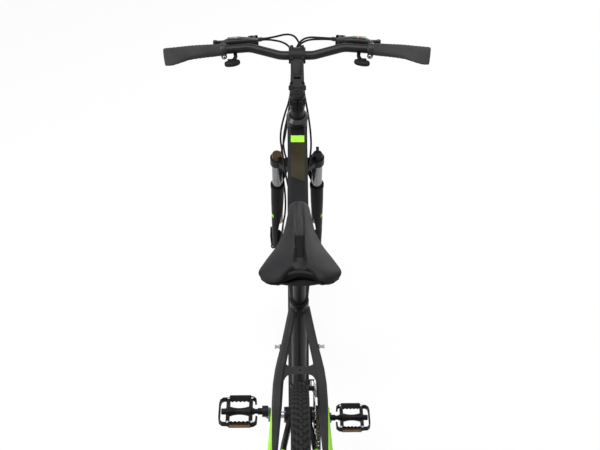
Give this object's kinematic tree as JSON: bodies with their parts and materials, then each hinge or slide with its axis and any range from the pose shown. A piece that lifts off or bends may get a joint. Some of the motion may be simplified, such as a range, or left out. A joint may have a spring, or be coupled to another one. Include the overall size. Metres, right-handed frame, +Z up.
{
  "type": "hybrid bike",
  "caption": "Sporty hybrid bicycle with suspension fork, tilting stem, disc brakes and chain drive; steering, wheels, crank, pedals, gears, levers and saddle all move.",
  "frame": {"origin": "on the ground, halfway between the wheel axles and in the middle of the handlebar's width", "axes": "+Z up, +Y forward, +X to the rider's right"},
  "size_m": [0.6568, 1.7857, 1.1053],
  "materials": {
    "frame_paint": "matte charcoal paint on aluminium tube",
    "black_alloy": "satin black anodised",
    "gloss_bar": "gloss black",
    "stanchion_grey": "polished dark grey tube",
    "fork_paint": "satin black paint on cast alloy",
    "knob_bronze": "bronze-brown moulded",
    "cable_housing": "smooth black housing",
    "grip_rubber": "matte ribbed rubber",
    "black_plastic": "fine-grained black",
    "tyre_rubber": "treaded black rubber",
    "rim_alloy": "satin black",
    "hub_alloy": "satin grey",
    "steel": "plain steel",
    "pedal_black": "dull black with amber reflectors",
    "saddle_shell": "moulded shell with steel rails",
    "saddle_cover": "black padded cover"
  },
  "bodies": {
    "frame": {"head_tube": "frame_paint", "top_tube": "frame_paint", "down_tube": "frame_paint", "seat_tube": "frame_paint", "chain_stays": "frame_paint", "seat_stays": "frame_paint", "dropouts": "frame_paint", "bearing_cups": "black_alloy", "seat_tube_clamps": "black_alloy", "rear_caliper": "black_alloy", "frame_fittings": "steel", "frame_cables": "cable_housing", "rear_axle": "hub_alloy", "chain": "steel", "steering_cables": "cable_housing"},
    "steering": {"fork_crown": "black_alloy", "stanchions": "stanchion_grey", "stem_base": "black_alloy"},
    "preload_knob": {"preload_knob": "knob_bronze"},
    "lockout_lever": {"lockout_lever": "black_alloy"},
    "stem": {"stem_arm": "black_alloy", "handlebar": "gloss_bar", "grips": "grip_rubber", "control_pods": "black_plastic"},
    "brake_lever_left": {"brake_lever_left": "black_alloy"},
    "brake_lever_right": {"brake_lever_right": "black_alloy"},
    "shift_paddle_left": {"shift_paddle_left": "black_plastic"},
    "shift_paddle_right": {"shift_paddle_right": "black_plastic"},
    "lowers": {"fork_lowers": "fork_paint", "front_caliper": "black_alloy", "front_axle": "hub_alloy", "front_brake_cable": "cable_housing"},
    "front_caliper_arm": {"front_caliper_arm": "black_alloy"},
    "rear_caliper_arm": {"rear_caliper_arm": "black_alloy"},
    "front_axle_lever": {"front_axle_lever": "hub_alloy"},
    "rear_axle_lever": {"rear_axle_lever": "hub_alloy"},
    "front_wheel": {"front_tyre": "tyre_rubber", "front_rim": "rim_alloy", "front_hub": "hub_alloy", "front_rotor": "steel"},
    "rear_wheel": {"rear_tyre": "tyre_rubber", "rear_rim": "rim_alloy", "rear_hub": "hub_alloy", "rear_rotor": "steel"},
    "cassette": {"cassette": "steel"},
    "crank": {"crank_axles": "steel", "crank_arms": "black_alloy", "chainrings": "steel"},
    "pedal_left": {"pedal_left": "pedal_black"},
    "pedal_right": {"pedal_right": "pedal_black"},
    "seatpost": {"seatpost": "black_alloy"},
    "saddle": {"saddle_base": "saddle_shell", "saddle_pad": "saddle_cover"},
    "front_derailleur": {"front_derailleur_cage": "steel"},
    "derailleur_link": {"derailleur_link": "black_alloy"},
    "derailleur_body": {"derailleur_body": "black_alloy"},
    "derailleur_cage": {"derailleur_cage": "steel"},
    "guide_pulley": {"guide_pulley": "black_plastic"},
    "tension_pulley": {"tension_pulley": "black_plastic"}
  },
  "joints": [
    {"name": "steering_turn", "type": "hinge", "parent": "frame", "child": "steering", "pos_m": [0, 0.49847, 0.3373], "axis": [0, -0.3267, 0.9451], "range_deg": [-60, 60], "deforming": ["steering_cables"]},
    {"name": "stem_tilt", "type": "hinge", "parent": "steering", "child": "stem", "pos_m": [0, 0.30535, 1.01224], "axis": [1, 0, 0], "range_deg": [-20, 39], "deforming": ["steering_cables", "front_brake_cable"]},
    {"name": "fork_travel", "type": "slide", "parent": "steering", "child": "lowers", "axis": [0, -0.3267, 0.9451], "range_m": [0, 0.063], "stiffness_N_per_m": 6000, "springref_m": -0.02, "deforming": ["front_brake_cable"]},
    {"name": "preload_turn", "type": "hinge", "parent": "steering", "child": "preload_knob", "pos_m": [-0.0535, 0.37871, 0.78473], "axis": [0, -0.3267, 0.9451], "range_deg": [0, 300]},
    {"name": "lockout_turn", "type": "hinge", "parent": "steering", "child": "lockout_lever", "pos_m": [0.0535, 0.37871, 0.78473], "axis": [0, 0.3267, -0.9451], "range_deg": [0, 90]},
    {"name": "brake_lever_right_pull", "type": "hinge", "parent": "stem", "child": "brake_lever_right", "pos_m": [0.1124, 0.41515, 1.0944], "axis": [0, 0, -1], "range_deg": [0, 12], "stiffness_Nm_per_rad": 1.2},
    {"name": "brake_lever_left_pull", "type": "hinge", "parent": "stem", "child": "brake_lever_left", "pos_m": [-0.1124, 0.41515, 1.0944], "axis": [0, 0, 1], "range_deg": [0, 12], "stiffness_Nm_per_rad": 1.2},
    {"name": "shift_paddle_right_push", "type": "hinge", "parent": "stem", "child": "shift_paddle_right", "pos_m": [0.15342, 0.38184, 1.0764], "axis": [0, 0, -1], "range_deg": [0, 25], "stiffness_Nm_per_rad": 0.4},
    {"name": "shift_paddle_left_push", "type": "hinge", "parent": "stem", "child": "shift_paddle_left", "pos_m": [-0.15342, 0.38184, 1.0764], "axis": [0, 0, 1], "range_deg": [0, 25], "stiffness_Nm_per_rad": 0.4},
    {"name": "front_arm_swing", "type": "hinge", "parent": "lowers", "child": "front_caliper_arm", "pos_m": [-0.053, 0.47289, 0.37536], "axis": [1, 0, 0], "range_deg": [-12, 12]},
    {"name": "rear_arm_swing", "type": "hinge", "parent": "frame", "child": "rear_caliper_arm", "pos_m": [-0.0657, -0.47575, 0.38243], "axis": [1, 0, 0], "range_deg": [-12, 12]},
    {"name": "front_lever_open", "type": "hinge", "parent": "lowers", "child": "front_axle_lever", "pos_m": [-0.0705, 0.541, 0.352], "axis": [0, -0.8993, 0.4373], "range_deg": [0, 180]},
    {"name": "rear_lever_open", "type": "hinge", "parent": "frame", "child": "rear_axle_lever", "pos_m": [-0.088, -0.541, 0.352], "axis": [0, -0.4226, 0.9063], "range_deg": [0, 180]},
    {"name": "front_wheel_spin", "type": "hinge", "parent": "lowers", "child": "front_wheel", "pos_m": [0, 0.541, 0.352], "axis": [1, 0, 0], "continuous": true},
    {"name": "rear_wheel_spin", "type": "hinge", "parent": "frame", "child": "rear_wheel", "pos_m": [0, -0.541, 0.352], "axis": [1, 0, 0], "continuous": true},
    {"name": "crank_spin", "type": "hinge", "parent": "frame", "child": "crank", "pos_m": [0, -0.0902, 0.2926], "axis": [1, 0, 0], "continuous": true, "deforming": ["chain"]},
    {"name": "cassette_spin", "type": "hinge", "parent": "frame", "child": "cassette", "pos_m": [0, -0.541, 0.352], "axis": [1, 0, 0], "continuous": true, "deforming": ["chain"]},
    {"name": "pedal_left_spin", "type": "hinge", "parent": "crank", "child": "pedal_left", "pos_m": [0, -0.2024, 0.42031], "axis": [1, 0, 0], "continuous": true},
    {"name": "pedal_right_spin", "type": "hinge", "parent": "crank", "child": "pedal_right", "pos_m": [0, 0.022, 0.16489], "axis": [1, 0, 0], "continuous": true},
    {"name": "seatpost_height", "type": "slide", "parent": "frame", "child": "seatpost", "axis": [0, -0.284, 0.9588], "range_m": [-0.08, 0.07]},
    {"name": "saddle_tilt", "type": "hinge", "parent": "seatpost", "child": "saddle", "pos_m": [0, -0.28105, 0.93693], "axis": [1, 0, 0], "range_deg": [-12, 12]},
    {"name": "front_derailleur_swing", "type": "hinge", "parent": "frame", "child": "front_derailleur", "pos_m": [0.031, -0.13337, 0.43834], "axis": [0, 1, 0], "range_deg": [-6, 7], "deforming": ["chain"]},
    {"name": "derailleur_link_swing", "type": "hinge", "parent": "frame", "child": "derailleur_link", "pos_m": [0.06583, -0.523, 0.29981], "axis": [0, 1, 0], "range_deg": [-30, 30.3], "deforming": ["chain"]},
    {"name": "derailleur_body_swing", "type": "hinge", "parent": "derailleur_link", "child": "derailleur_body", "pos_m": [0.085, -0.523, 0.267], "axis": [0, 1, 0], "range_deg": [-30.4, 30.1], "deforming": ["chain"]},
    {"name": "derailleur_cage_swing", "type": "hinge", "parent": "derailleur_body", "child": "derailleur_cage", "pos_m": [0.045, -0.523, 0.258], "axis": [1, 0, 0], "range_deg": [-20, 60], "stiffness_Nm_per_rad": 0.5, "deforming": ["chain"]},
    {"name": "guide_pulley_spin", "type": "hinge", "parent": "derailleur_cage", "child": "guide_pulley", "pos_m": [0.045, -0.523, 0.258], "axis": [1, 0, 0], "continuous": true, "deforming": ["chain"]},
    {"name": "tension_pulley_spin", "type": "hinge", "parent": "derailleur_cage", "child": "tension_pulley", "pos_m": [0.045, -0.51453, 0.19658], "axis": [1, 0, 0], "continuous": true, "deforming": ["chain"]}
  ],
  "couplings": [
    {"joint": "cassette_spin", "follows": "crank_spin", "ratio": 2},
    {"joint": "tension_pulley_spin", "follows": "crank_spin", "ratio": 3.2727},
    {"joint": "guide_pulley_spin", "follows": "crank_spin", "ratio": -3.2727},
    {"joint": "derailleur_body_swing", "follows": "derailleur_link_swing", "ratio": -1},
    {"joint": "front_arm_swing", "follows": "brake_lever_left_pull", "ratio": -0.9},
    {"joint": "rear_arm_swing", "follows": "brake_lever_right_pull", "ratio": -0.9}
  ]
}
